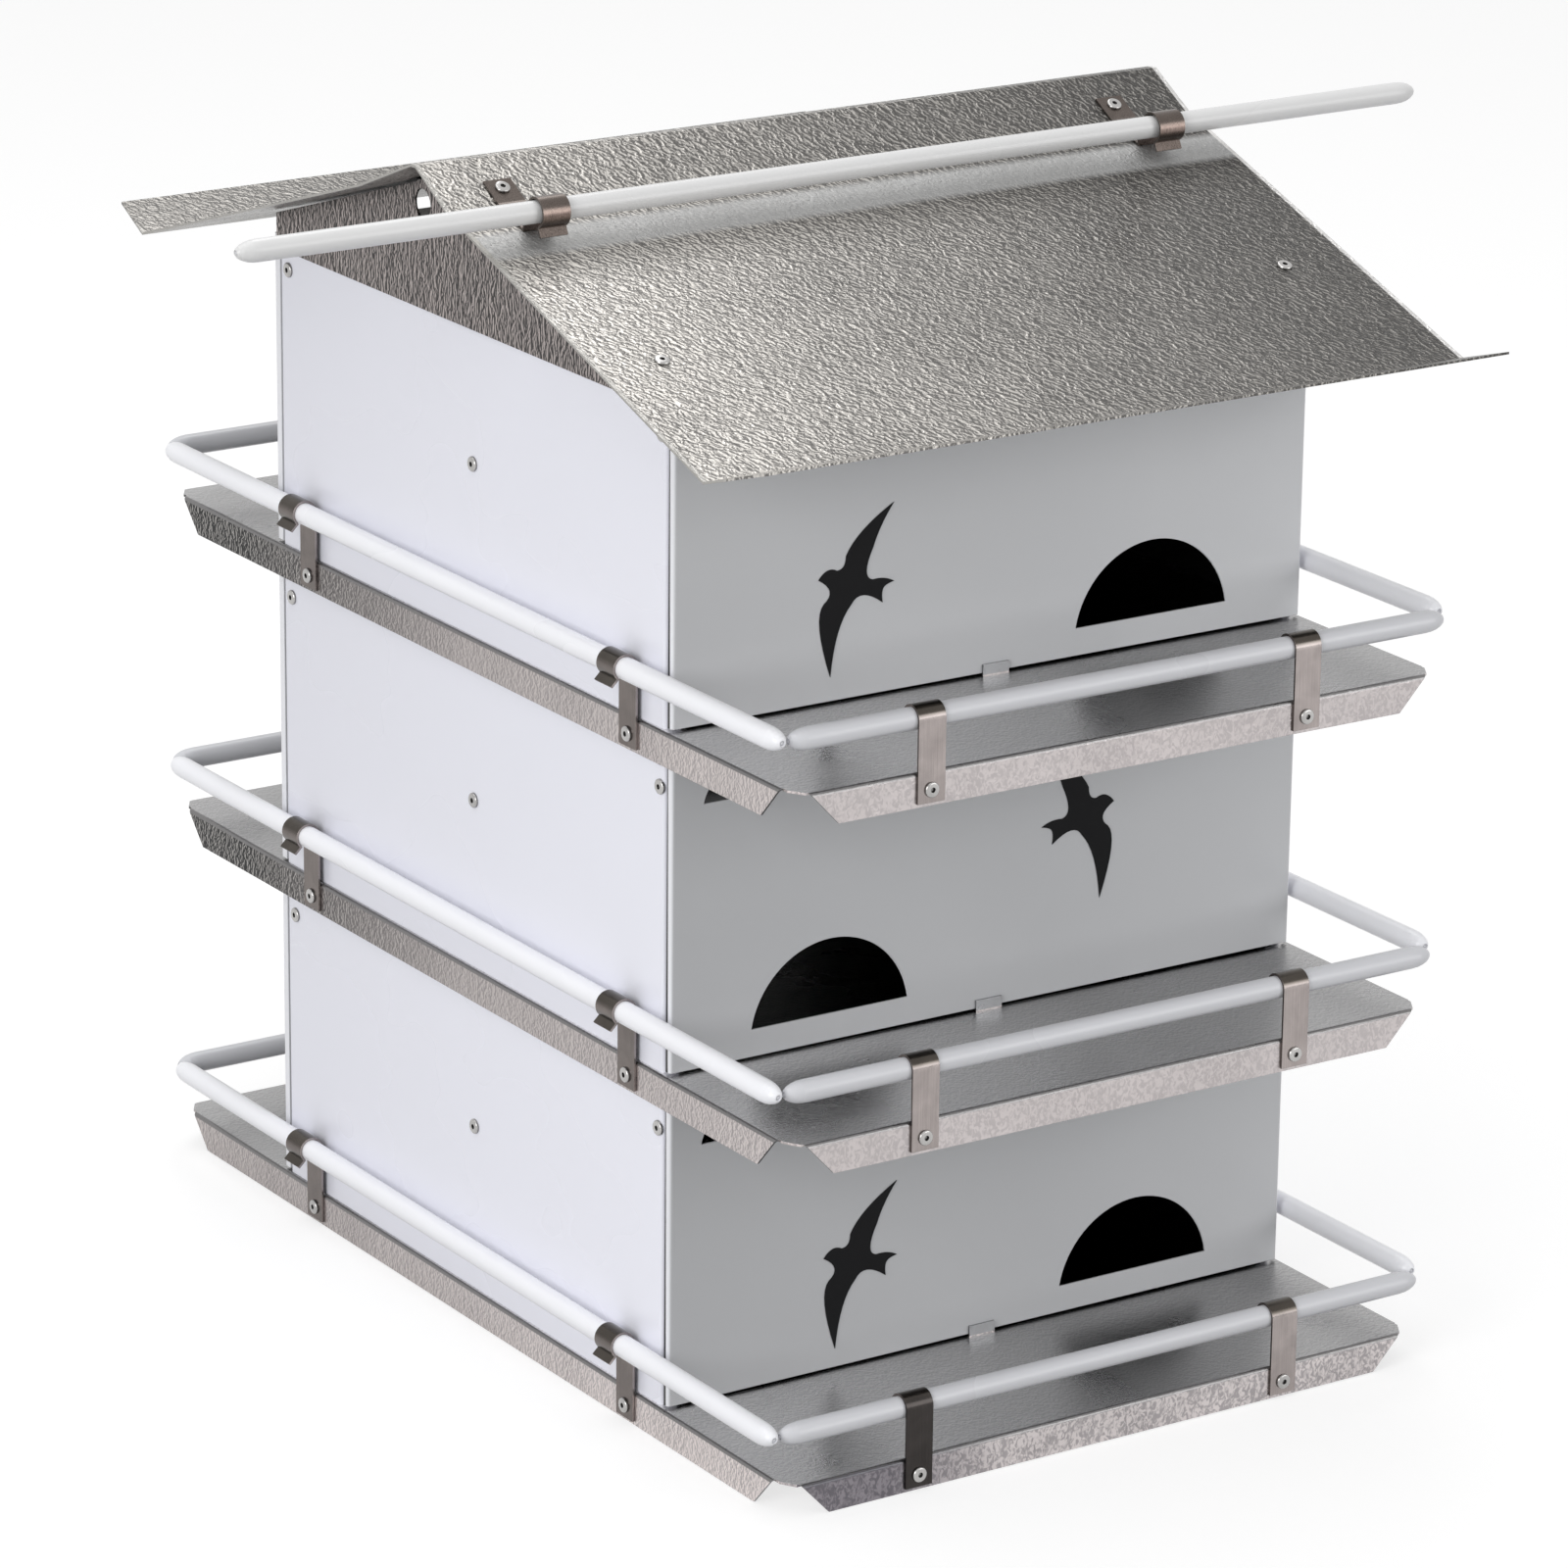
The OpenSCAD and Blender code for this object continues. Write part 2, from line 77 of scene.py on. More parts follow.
clearSelection()
bpy.ops.object.camera_add(location=view["place"])
camera = bpy.context.object
camera.name = "photographer"
sight = Vector(view["aim"]) - Vector(view["place"])
camera.rotation_euler = sight.to_track_quat("-Z", "Y").to_euler()
camera.rotation_euler.rotate_axis("Z", math.radians(view["roll"]))
camera.data.lens = view["lens"]
camera.data.sensor_width = view["film"]
camera.data.clip_end = view["reach"]
bpy.context.scene.camera = camera
print("camera set")


def startFinish(name, colour, metal, rough):
    finish = bpy.data.materials.new(name)
    finish.use_nodes = True
    shader = finish.node_tree.nodes["Principled BSDF"]
    shader.inputs["Base Color"].default_value = (*colour, 1)
    shader.inputs["Metallic"].default_value = metal
    shader.inputs["Roughness"].default_value = rough
    return finish, shader


def node(finish, kind, label, **values):
    made = finish.node_tree.nodes.new(kind)
    made.label = label
    for key, value in values.items():
        if key in made.inputs:
            made.inputs[key].default_value = value
        else:
            setattr(made, key, value)
    return made


def join(finish, fromSocket, toSocket):
    finish.node_tree.links.new(fromSocket, toSocket)


def grain(finish, size, detail=1.0, twist=0.6, label="grain", turn=(0, 0, 0), shift=(0, 0, 0)):
    # a noise in object space whose spots are size = (x, y, z) metres across, turned by turn degrees
    place = node(finish, "ShaderNodeTexCoord", "place")
    stretch = node(finish, "ShaderNodeMapping", label + " stretch", vector_type="TEXTURE", Scale=size,
                   Rotation=[math.radians(angle) for angle in turn], Location=shift)
    spots = node(finish, "ShaderNodeTexNoise", label, Scale=1.0, Detail=detail, Distortion=twist)
    join(finish, place.outputs["Object"], stretch.inputs["Vector"])
    join(finish, stretch.outputs["Vector"], spots.inputs["Vector"])
    return spots.outputs["Fac"]


def spread(finish, source, label, low, high, atLow=0.0, atHigh=1.0):
    # source from low to high becomes atLow to atHigh, and is held there beyond them
    made = node(finish, "ShaderNodeMapRange", label)
    for i, value in zip((1, 2, 3, 4), (low, high, atLow, atHigh)):
        made.inputs[i].default_value = value
    join(finish, source, made.inputs[0])
    return made.outputs[0]


def fromNoise(finish, noise, label, atLow=0.0, atHigh=1.0):
    # a noise seldom leaves 0.3 to 0.7, so that range becomes atLow to atHigh
    return spread(finish, noise, label, 0.3, 0.7, atLow, atHigh)


def blend(finish, amount, first, second, label, mode="MIX"):
    # sockets, plain numbers and colours may stand for each other
    made = node(finish, "ShaderNodeMix", label, data_type="RGBA", blend_type=mode)
    for socket, value in ((0, amount), (6, first), (7, second)):
        if isinstance(value, (int, float)):
            made.inputs[socket].default_value = value
        elif isinstance(value, tuple):
            made.inputs[socket].default_value = (*value, 1)
        else:
            join(finish, value, made.inputs[socket])
    return made.outputs[2]


def shaded(finish, colour, shade, label):
    return blend(finish, 1.0, colour, shade, label, "MULTIPLY")


def sums(finish, operation, first, second, label):
    made = node(finish, "ShaderNodeMath", label, operation=operation)
    for socket, value in ((0, first), (1, second)):
        if isinstance(value, (int, float)):
            made.inputs[socket].default_value = value
        else:
            join(finish, value, made.inputs[socket])
    return made.outputs[0]


def times(finish, first, second, label):
    return sums(finish, "MULTIPLY", first, second, label)


def band(finish, source, label, start, full, last, end, most=1.0):
    # 0 as far as start, most from full to last, and 0 again from end on
    rise = spread(finish, source, label + " begins", start, full, 0.0, most)
    return times(finish, rise, spread(finish, source, label + " ends", last, end, 1.0, 0.0), label)


def axes(finish, output="Object"):
    # the object's own x, y and z, one socket each
    place = node(finish, "ShaderNodeTexCoord", "place")
    split = node(finish, "ShaderNodeSeparateXYZ", "x, y and z")
    join(finish, place.outputs[output], split.inputs[0])
    return split.outputs


def facing(finish, axis):
    # how squarely a face looks along x, y or z, from 0 to 1
    return sums(finish, "ABSOLUTE", axes(finish, "Normal")[axis], 0.0, "facing " + "xyz"[axis])


def faceOn(finish, axis, label, least=0.3, most=0.8):
    # 1 on the faces that look along an axis, 0 on those turned away from it
    return spread(finish, facing(finish, axis), label, least, most)


def nearTo(finish, spot, full, none, label):
    # 1 within full metres of a spot, falling to 0 at none metres
    place = node(finish, "ShaderNodeTexCoord", "place")
    reach = node(finish, "ShaderNodeVectorMath", label, operation="DISTANCE")
    reach.inputs[1].default_value = spot
    join(finish, place.outputs["Object"], reach.inputs[0])
    return spread(finish, reach.outputs["Value"], label, full, none, 1.0, 0.0)


def closedIn(finish, label, reach, shut, clear, least):
    # 1 where a face lies clear, falling to least where others shut it in within reach metres
    around = node(finish, "ShaderNodeAmbientOcclusion", label, samples=6, Distance=reach)
    return spread(finish, around.outputs["AO"], label, shut, clear, least, 1.0)


def upStorey(finish):
    # 0 on a tray's top, rising to 1 at the next one
    pitch = trayTop[2] - trayTop[1]
    risen = sums(finish, "SUBTRACT", axes(finish)[2], trayTop[1], "above the lowest tray")
    return sums(finish, "FRACT", sums(finish, "DIVIDE", risen, pitch, "in storeys"), 0.0, "up the storey")


def relief(finish, shader, height, distance, strength, edge=0.0004):
    # bumps distance metres high, on a sheet whose edges are eased by edge
    normal = node(finish, "ShaderNodeBevel", "eased edge", samples=4, Radius=edge)
    bump = node(finish, "ShaderNodeBump", "relief", Distance=distance, Strength=strength)
    join(finish, height, bump.inputs["Height"])
    join(finish, normal.outputs["Normal"], bump.inputs["Normal"])
    join(finish, bump.outputs["Normal"], shader.inputs["Normal"])


# painted shade: inside the rooms, where no light falls, the sheets are painted near black; a skin of the sheet and
# the corners past the walls are outside them
rooms = {"skin": 0.0007, "corner": 0.150, "dark": (0.006, 0.006, 0.007)}
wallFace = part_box("end_wall_right_1")[1].x
panelFace = -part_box("front_panel_1")[0].y


def within(finish):
    # 1 inside the rooms, where shade is painted, and 0 outside and at the open corners
    x, y = axes(finish)[:2]
    across, along = [sums(finish, "ABSOLUTE", out, 0.0, "out") for out in (x, y)]
    boxes = [times(finish, sums(finish, "LESS_THAN", across, wide, "between the walls"),
                   sums(finish, "LESS_THAN", along, deep, "between the panels"), "box")
             for wide, deep in ((rooms["corner"], panelFace - rooms["skin"]),
                                (wallFace - rooms["skin"], rooms["corner"]))]
    return sums(finish, "MAXIMUM", *boxes, "inside the rooms")


def onOpenSide(finish):
    # 1 in front on the left and behind on the right, where the panels hang clear of the walls
    x, y = axes(finish)[:2]
    return sums(finish, "GREATER_THAN", times(finish, x, y, "x by y"), 0.0, "open side")


# stamped sheet: aluminium rolled with a wavy leather grain, its ridges given painted light on one side
# and painted shade on the other (slant), and painted shade that leaves fewer ridges lit from left to right (few)
stamped = {
    "tray": {"size": (0.0026, 0.0019, 0.0034), "turn": (0, 0, -18), "slant": (0, 0.0008, 0), "few": (0, 0),
             "dark": (0.25, 0.25, 0.255), "light": (0.43, 0.425, 0.425), "rough": 0.28, "crisp": 0.10,
             "deep": 0.00015, "strength": 0.3, "edge": 0.0002},
    "roof": {"size": (0.0019, 0.0044, 0.0044), "turn": (0, 0, 31), "slant": (-0.0008, -0.00048, 0),
             "few": (0.0, -0.08), "dark": (0.14, 0.134, 0.128), "light": (0.50, 0.48, 0.45), "rough": 0.32,
             "crisp": 0.075, "deep": 0.00035, "strength": 0.65, "edge": 0.0003},
    # the gable is the same sheet as the roof and trays, its colours painted darker as shade
    "gable": {"size": (0.0018, 0.0018, 0.0055), "turn": (0, 0, 0), "slant": (0, 0.0008, 0), "few": (-0.04, -0.04),
              "dark": (0.05, 0.046, 0.045), "light": (0.43, 0.38, 0.365), "rough": 0.34, "crisp": 0.07,
              "deep": 0.00030, "strength": 0.6, "edge": 0.0003},
}
handled = {"size": (0.05, 0.05, 0.05), "shade": (0.90, 1.06), "shinier": 0.05, "duller": 0.08}
sheetReach = 0.18  # from the middle to just past the sheets' left and right ends


def stampedFinish(name, look):
    finish, shader = startFinish(name, look["light"], 1.0, look["rough"])
    stamp, beside = [grain(finish, look["size"], detail=1.8, twist=1.3, label="stamped grain", turn=look["turn"],
                           shift=shift) for shift in ((0, 0, 0), look["slant"])]
    # painted light and shade in the grain's colour: each ridge lit on one side, and fewer lit to the right
    few = spread(finish, axes(finish)[0], "painted grain shade to the right", -sheetReach, sheetReach, *look["few"])
    lit = sums(finish, "ADD", sums(finish, "SUBTRACT", beside, stamp, "one side lit"), few, "ridges")
    ridges = spread(finish, lit, "crisp ridges", -look["crisp"], look["crisp"])
    colour = blend(finish, ridges, look["dark"], look["light"], "grain colour")
    wear = grain(finish, handled["size"], detail=3.0, label="handling marks")
    tint = shaded(finish, colour, fromNoise(finish, wear, "handling shade", *handled["shade"]), "handled colour")
    gloss = fromNoise(finish, wear, "handled gloss", look["rough"] - handled["shinier"],
                      look["rough"] + handled["duller"])
    join(finish, gloss, shader.inputs["Roughness"])
    height = spread(finish, stamp, "grain height", 0.4, 0.6)
    relief(finish, shader, height, look["deep"], look["strength"], look["edge"])
    return finish, shader, tint, ridges


# four numbers are from, to, value at from and value at to, along x or y
trayTone = {
    "upperRise": 0.02,  # what lies this far over the lowest tray's top belongs to the upper ones
    "plain": (0.34, 0.335, 0.335), "frontPlain": 0.6, "lowFrontPlain": 0.0, "topPlain": 0.45,  # without grain
    "topAcross": (-0.17, 0.04, 2.3, 1.05), "topAway": (-0.1, 0.15, 1.0, 0.48),  # tops, painted light at the left and painted shade to the right and to the back
    "front": (1.40, 1.31, 1.30), "side": (1.28, 1.18, 1.15), "lowSide": 1.28,  # folded edges, with painted light of their own
    # sides painted darker to the back, as shade
    "sideAway": (-0.25, 0.1, 1.12, 0.70),
    "dimAway": (0.0, 0.19), "dim": 0.05, "fleck": (0.30, 0.287, 0.275), "flecks": (0.55, 1.0),  # upper back sides, painted shade with light flecks
    "fold": (0.20, 0.195, 0.195), "foldBand": (0.1, 0.25, 0.93, 0.99),  # painted shade along the bends, by how far the bend looks up
}
# a darker, bluer patch on the lowest tray's front edge at its left end
darkPatch = {"spot": (-0.14, -0.257, 0.006), "full": 0.03, "none": 0.09, "tone": (0.40, 0.40, 0.44)}
tab = {"from": 0.004, "to": 0.1, "colour": (0.33, 0.335, 0.345)}  # as shares of a storey


def traySheet(finish, tint, onFront, onTop, upper):
    # the grain is fainter on the tops and on the upper trays' front edges
    plainer = spread(finish, upper, "plainer upstairs", 0.0, 1.0, trayTone["lowFrontPlain"], trayTone["frontPlain"])
    calm = sums(finish, "ADD", times(finish, onFront, plainer, "calmer in front"),
                times(finish, onTop, trayTone["topPlain"], "calmer on top"), "calm")
    return blend(finish, calm, tint, trayTone["plain"], "calmed sheet")


def trayLight(finish, onFront, onSide, upper):
    # painted light and shade: folded edges stand out against the tops, which are painted darker to the right and to
    # the back
    x, y = axes(finish)[:2]
    tone = times(finish, spread(finish, x, "tops to the right", *trayTone["topAcross"]),
                 spread(finish, y, "tops to the back", *trayTone["topAway"]), "tops")
    tone = blend(finish, onFront, tone, trayTone["front"], "front edge tone")
    low = tuple(c * trayTone["lowSide"] for c in trayTone["side"])
    side = blend(finish, upper, low, trayTone["side"], "side tone")
    return blend(finish, onSide, tone, side, "side edge tone")


def dimSides(finish, toned, look, ridges, onSide, upper):
    # painted shade: sides are painted darker to the back, where the upper trays' are painted dark with light flecks
    y = axes(finish)[1]
    shadedBack = shaded(finish, toned, spread(finish, y, "painted shade to the back", *trayTone["sideAway"]), "shadedBack")
    toned = blend(finish, onSide, toned, shadedBack, "sides with painted shade")
    back = spread(finish, y, "towards the back", *trayTone["dimAway"])
    dim = times(finish, times(finish, upper, back, "upper back"), onSide, "upper back sides")
    flecks = spread(finish, ridges, "fewer flecks", *trayTone["flecks"])
    dimmed = tuple(c * trayTone["dim"] for c in look["dark"])
    return blend(finish, dim, toned, blend(finish, flecks, dimmed, trayTone["fleck"], "dim sheet"), "dimmed sheet")


def trayFinish(name, look):
    finish, shader, tint, ridges = stampedFinish(name, look)
    onSide = faceOn(finish, 0, "side edges")
    onFront = faceOn(finish, 1, "front and back edges")
    onTop = facing(finish, 2)
    upper = spread(finish, axes(finish)[2], "above the lowest tray", trayTop[1], trayTop[1] + trayTone["upperRise"])
    sheet = traySheet(finish, tint, onFront, onTop, upper)
    # painted light and shade laid over the tray sheet
    toned = shaded(finish, sheet, trayLight(finish, onFront, onSide, upper), "toned sheet")
    toned = dimSides(finish, toned, look, ridges, onSide, upper)
    # painted shade along the bends between tops and folded edges
    fold = band(finish, onTop, "fold line", *trayTone["foldBand"])
    toned = blend(finish, fold, toned, trayTone["fold"], "painted shade in folds")
    # a darker patch on the front edge near the lowest tray's left end
    patched = nearTo(finish, darkPatch["spot"], darkPatch["full"], darkPatch["none"], "darker patch at the end")
    patched = times(finish, patched, onFront, "darker patch on the front edge")
    toned = blend(finish, patched, toned, shaded(finish, toned, darkPatch["tone"], "darkPatch"), "patched")
    up = upStorey(finish)
    onTab = times(finish, sums(finish, "GREATER_THAN", up, tab["from"], "over the top"),
                  sums(finish, "LESS_THAN", up, tab["to"], "low"), "tab")
    toned = blend(finish, onTab, toned, tab["colour"], "plain tab")
    # painted shade inside the rooms
    join(finish, blend(finish, within(finish), toned, rooms["dark"], "tray colour"), shader.inputs["Base Color"])
    return finish


# painted light and shade: the roof is painted lighter at the left and darker to the right and behind the ridge
roofTone = {"left": 1.18, "right": 0.44, "back": 0.66, "behind": (0.02, 0.04)}
hem = {"width": 0.0022, "solid": 0.8, "turn": 0.1, "left": (0.38, 0.37, 0.35), "right": (0.62, 0.61, 0.60)}
perchReflection = {"from": -0.066, "to": -0.052, "edge": 0.004, "amount": 0.85, "colour": (0.42, 0.42, 0.418),
          "softBand": (-0.095, -0.07, -0.045, -0.03), "rough": 0.6}  # painted reflection under the perch, and softer gloss round it, along y
# painted shade: a dark spot stands in for the shadowed inside of a spare hole
spareHole = {"spot": (0.170, -0.170, 0.442), "full": 0.0020, "none": 0.0027, "dark": (0.01, 0.01, 0.01)}


def perchReflectionSheet(finish, shader, shadedRoof, look):
    # painted reflection of the perch: a smooth, even, lighter band painted under it, with the gloss gone for some way
    # round it
    y = axes(finish)[1]
    reflected = band(finish, y, "perchReflection", perchReflection["from"] - perchReflection["edge"], perchReflection["from"], perchReflection["to"],
               perchReflection["to"] + perchReflection["edge"], perchReflection["amount"])
    gloss = shader.inputs["Roughness"].links[0].from_socket
    soft = band(finish, y, "softened", *perchReflection["softBand"])
    softer = spread(finish, soft, "softer", 0.0, 1.0, 0.0, perchReflection["rough"] - look["rough"])
    join(finish, sums(finish, "ADD", gloss, softer, "softened gloss"), shader.inputs["Roughness"])
    return blend(finish, reflected, shadedRoof, perchReflection["colour"], "sheet with painted perch reflection")


def cutEnds(finish, sheet, low, high):
    # the sheet's cut edges, bright at the two rakes
    x = axes(finish)[0]
    off = sums(finish, "ABSOLUTE", sums(finish, "SUBTRACT", x, (low.x + high.x) / 2, "from the middle"), 0.0, "out")
    half = (high.x - low.x) / 2
    onHem = spread(finish, off, "hem", half - hem["width"], half - hem["width"] * hem["solid"])
    side = spread(finish, x, "which rake", -hem["turn"], hem["turn"])
    return blend(finish, onHem, sheet, blend(finish, side, hem["left"], hem["right"], "hem colour"), "roof colour")


def roofFinish(name, look):
    finish, shader, tint, _ = stampedFinish(name, look)
    low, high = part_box("roof")
    x, y = axes(finish)[:2]
    # painted light at the left, painted shade to the right and behind the ridge
    darkening = spread(finish, x, "roof painted darker to the right", low.x, high.x, roofTone["left"], roofTone["right"])
    back = spread(finish, y, "roof painted darker at the back", *roofTone["behind"], 1.0, roofTone["back"])
    shadedRoof = shaded(finish, tint, times(finish, darkening, back, "shadedRoof"), "roof with painted light and shade")
    sheet = perchReflectionSheet(finish, shader, shadedRoof, look)
    # the spare hole's inside painted dark as shade
    bored = nearTo(finish, spareHole["spot"], spareHole["full"], spareHole["none"], "spare hole")
    sheet = blend(finish, bored, sheet, spareHole["dark"], "sheet with painted hole shade")
    join(finish, cutEnds(finish, sheet, low, high), shader.inputs["Base Color"])
    return finish


underRoof = {"reach": 0.012, "shut": 0.3, "clear": 0.7, "least": 0.1}  # the gable's shade close under the roof


def gableFinish(name, look):
    finish, shader, tint, _ = stampedFinish(name, look)
    shade = closedIn(finish, "under the roof", **underRoof)
    join(finish, shaded(finish, tint, shade, "gable colour"), shader.inputs["Base Color"])
    return finish


paint = {"cloud": (0.12, 0.12, 0.07), "peel": (0.0009, 0.0009, 0.0009), "deep": 0.00002, "strength": 0.3,
         "shinier": 0.04, "duller": 0.05}
# painted light and shade along x, y and z: from, to, value at from, value at to
even = (0, 1, 1, 1)  # no change along that axis
paintShade = {"wall paint": (even, (-0.16, 0.16, 1.02, 0.93), (0.15, 0.17, 1.04, 1.0)),
              "panel paint": ((-0.16, 0.08, 0.745, 0.98), even, (0.30, 0.31, 0.88, 1.0))}
# how much of a panel's folded side edge keeps its painted light in the open corner before the painted shadow, at a
# storey's foot and up at its top
seam = {"foot": 0.0017, "top": 0.0027, "topUp": 0.85, "bright": (0.86, 0.865, 0.90)}


def shadePaintByPlace(finish, painted, shades):
    # painted light and shade, multiplied along x, y and z
    along, away, up = [spread(finish, place, "shade along " + axis, *shade)
                       for place, axis, shade in zip(axes(finish), "xyz", shades)]
    return shaded(finish, painted, times(finish, times(finish, along, away, "both"), up, "all three"), "paint with painted light and shade")


def panelEdges(finish, painted):
    # painted light and shadow: a panel's folded side edges are painted bright, then painted dark as shadow in the
    # open corner
    onSide = faceOn(finish, 0, "side edges")
    painted = blend(finish, onSide, painted, seam["bright"], "painted light on side edges")
    edge = spread(finish, upStorey(finish), "wider at the foot", 0.0, seam["topUp"], panelFace - seam["foot"],
                  panelFace - seam["top"])
    out = sums(finish, "ABSOLUTE", axes(finish)[1], 0.0, "out")
    dark = times(finish, onSide, sums(finish, "LESS_THAN", out, edge, "behind the edge"), "deep edge")
    dark = times(finish, dark, onOpenSide(finish), "open corner")
    return blend(finish, dark, painted, rooms["dark"], "painted shadow in the open corner")


def paintFinish(name, colour, rough, mottle=0.012):
    finish, shader = startFinish(name, colour, 0.0, rough)
    cloud = grain(finish, paint["cloud"], detail=2.0, twist=0.0, label="paint cloud")
    peel = grain(finish, paint["peel"], detail=0.0, twist=0.0, label="orange peel")
    painted = shaded(finish, colour, fromNoise(finish, cloud, "cloud shade", 1 - mottle, 1.0), "painted colour")
    if name in paintShade:
        painted = shadePaintByPlace(finish, painted, paintShade[name])
        if name == "panel paint":
            painted = panelEdges(finish, painted)
        painted = blend(finish, within(finish), painted, rooms["dark"], "painted room shade")
    join(finish, painted, shader.inputs["Base Color"])
    gloss = fromNoise(finish, cloud, "paint gloss", rough - paint["shinier"], rough + paint["duller"])
    join(finish, gloss, shader.inputs["Roughness"])
    relief(finish, shader, peel, paint["deep"], paint["strength"])
    return finish


# rolled strip: fine lines along its length and a faint heat tint
strip = {"lines": (0.00025, 0.00025, 0.03), "cloud": (0.012, 0.012, 0.012), "tint": 0.8, "brightest": 1.05,
         "shinier": 0.04, "duller": 0.06, "deep": 0.00001, "strength": 0.4, "edge": 0.0002}
# painted light and shade on the rail clips: lighter in front, darker elsewhere and darkest on top, and one of them
# darker still
stripTone = {"front": (1.14, 1.06, 1.07), "elsewhere": (0.52, 0.47, 0.46), "top": (0.24, 0.22, 0.20)}
# the perch clips' painted light in front and painted shade on top
perchTone = {"front": (1.6, 1.4, 1.35), "elsewhere": (1.0, 1.0, 1.0), "top": (0.8, 0.76, 0.74)}
plainTone = {"front": (1, 1, 1), "elsewhere": (1, 1, 1), "top": (1, 1, 1)}
# one rail clip, at the lowest tray's front left, is darker
darkerClip = {"spot": (-0.096, -0.262, 0.012), "full": 0.028, "none": 0.032, "tone": (0.16, 0.15, 0.15)}
inSocket = {"reach": 0.002, "shut": 0.35, "clear": 0.85, "least": 0.03}  # painted shade in the rivets' sockets


def stripTones(finish, name, shades):
    # painted light and shade by which way a face looks
    onFront = faceOn(finish, 1, "front and back faces", 0.5, 0.95)
    onTop = faceOn(finish, 2, "tops and bottoms", 0.12, 0.5)
    tone = blend(finish, onFront, shades["elsewhere"], shades["front"], "face tone")
    tone = blend(finish, onTop, tone, shades["top"], "top tone")
    if name == "spring steel":
        # that one clip darker
        darkening = nearTo(finish, darkerClip["spot"], darkerClip["full"], darkerClip["none"], "darker clip")
        tone = blend(finish, darkening, tone, darkerClip["tone"], "darker clip tone")
    if name == "rivet aluminium":
        # painted shade in the sockets
        tone = shaded(finish, tone, closedIn(finish, "in the socket", **inSocket), "painted socket shade")
    return tone


def stripFinish(name, colour, rough, streak=0.88, shades=stripTone):
    finish, shader = startFinish(name, colour, 1.0, rough)
    lines = grain(finish, strip["lines"], detail=2.0, twist=0.0, label="rolling lines")
    cloud = grain(finish, strip["cloud"], detail=2.0, label="tint cloud")
    tint = tuple(c * strip["tint"] for c in colour)
    warm = blend(finish, fromNoise(finish, cloud, "tint"), colour, tint, "tinted steel")
    lined = shaded(finish, warm, fromNoise(finish, lines, "line shade", streak, strip["brightest"]), "lined steel")
    toned = shaded(finish, lined, stripTones(finish, name, shades), "toned steel")
    join(finish, toned, shader.inputs["Base Color"])
    gloss = fromNoise(finish, lines, "line gloss", rough - strip["shinier"], rough + strip["duller"])
    join(finish, gloss, shader.inputs["Roughness"])
    relief(finish, shader, lines, strip["deep"], strip["strength"], strip["edge"])
    return finish


finishes = {
    "tray_sheet": trayFinish("stamped tray sheet", stamped["tray"]),
    "roof_sheet": roofFinish("stamped roof sheet", stamped["roof"]),
    "gable_sheet": gableFinish("stamped gable sheet", stamped["gable"]),
    "attic_sheet": stripFinish("mill sheet", (0.45, 0.45, 0.45), 0.3, shades=plainTone),
    "wall_paint": paintFinish("wall paint", (0.87, 0.875, 0.95), 0.28),
    "panel_paint": paintFinish("panel paint", (0.72, 0.73, 0.75), 0.34),
    "rail_paint": paintFinish("rail paint", (0.66, 0.665, 0.695), 0.30),
    "perch_paint": paintFinish("perch paint", (0.72, 0.72, 0.72), 0.30),
    "clip_steel": stripFinish("spring steel", (0.34, 0.325, 0.31), 0.22),
    "emblem_vinyl": paintFinish("matt black vinyl", (0.009, 0.009, 0.010), 0.7, 0.1),
    "rivet_metal": stripFinish("rivet aluminium", (0.50, 0.49, 0.48), 0.24, shades=plainTone),
}
vinylShine = 0.15
vinyl = finishes["emblem_vinyl"].node_tree.nodes["Principled BSDF"]
vinyl.inputs["Specular IOR Level"].default_value = vinylShine

# the side rails get a lighter copy of the rail paint as painted light, and the perch has darker clips of its own
litSideRail = paintFinish("side rail paint with painted light", (0.94, 0.945, 0.98), 0.30)
darkStrip = stripFinish("dark spring strip", (0.20, 0.175, 0.16), 0.3, 0.5, perchTone)
special = {"perch_clips": darkStrip, "rail_left": litSideRail, "rail_right": litSideRail}

for part in frame["record"]["subparts"]:
    piece = part["node"].rstrip("_123")
    body = frame["nodes"][part["node"]]
    body.data.materials.clear()
    body.data.materials.append(special.get(piece, finishes[part["material_slot"]]))
print("finishes laid:", len(finishes))


rivet = {"head": 0.0066, "height": 0.0012, "rim": 0.0007, "hole": 0.0023, "holeDepth": 0.0009, "sides": 24,
         "rimSteps": 4, "smooth": 40}

clearSelection()
bpy.ops.mesh.primitive_cylinder_add(vertices=rivet["sides"], radius=rivet["head"] / 2, depth=rivet["height"],
                                    location=(0, 0, rivet["height"] / 2))
rivetHead = bpy.context.object
rivetHead.name = "rivet_pattern"
bpy.ops.object.transform_apply(location=True, rotation=True, scale=True)
pickFaces(rivetHead, lambda face: face.normal.z > 0.9)
bpy.ops.mesh.bevel(offset=rivet["rim"], segments=rivet["rimSteps"], profile=0.5, affect="EDGES")
pickFaces(rivetHead, lambda face: face.normal.z > 0.99)  # the flat middle, without the rounded rim
bpy.ops.mesh.inset(thickness=(rivet["head"] - rivet["hole"]) / 2 - rivet["rim"])
bpy.ops.mesh.extrude_region_move(TRANSFORM_OT_translate={"value": (0, 0, -rivet["holeDepth"])})
bpy.ops.object.mode_set(mode="OBJECT")
bpy.ops.object.shade_smooth_by_angle(angle=math.radians(rivet["smooth"]))
rivetHead.data.materials.append(finishes["rivet_metal"])


